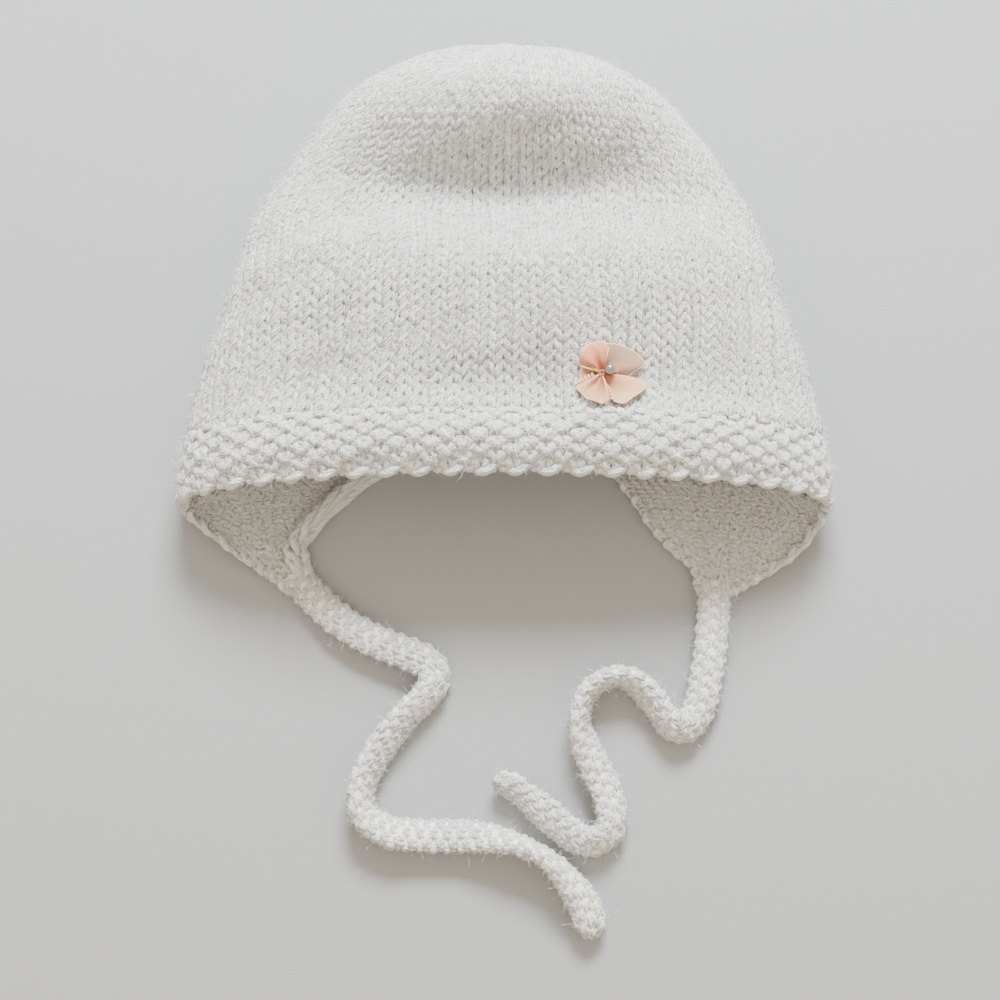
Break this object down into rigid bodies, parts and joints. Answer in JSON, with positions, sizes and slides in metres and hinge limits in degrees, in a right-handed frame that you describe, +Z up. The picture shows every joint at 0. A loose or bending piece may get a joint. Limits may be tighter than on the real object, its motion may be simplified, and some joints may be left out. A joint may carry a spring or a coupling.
{
  "type": "baby bonnet",
  "caption": "Knitted baby bonnet with ear flaps and long ties, lying on its back, with a small ribbon flower and a pearl bead on the front.",
  "frame": {"origin": "middle of the footprint of the cap and its ear flaps, on the surface it lies on", "axes": "+Z up off the surface, out of the front of the bonnet; -Y out of the head opening; +Y towards the gathered crown; +X towards the flower's side"},
  "size_m": [0.1742, 0.2389, 0.0355],
  "materials": {
    "white_yarn": "matte, softly fuzzy knit",
    "peach_ribbon": "satin, partly see-through",
    "pearl": "pearly gloss"
  },
  "bodies": {
    "root": {"crown": "white_yarn", "band": "white_yarn", "ear_flap_left": "white_yarn", "ear_flap_right": "white_yarn", "tie_left": "white_yarn", "tie_right": "white_yarn", "ribbon_flower": "peach_ribbon", "pearl_bead": "pearl"}
  },
  "joints": []
}
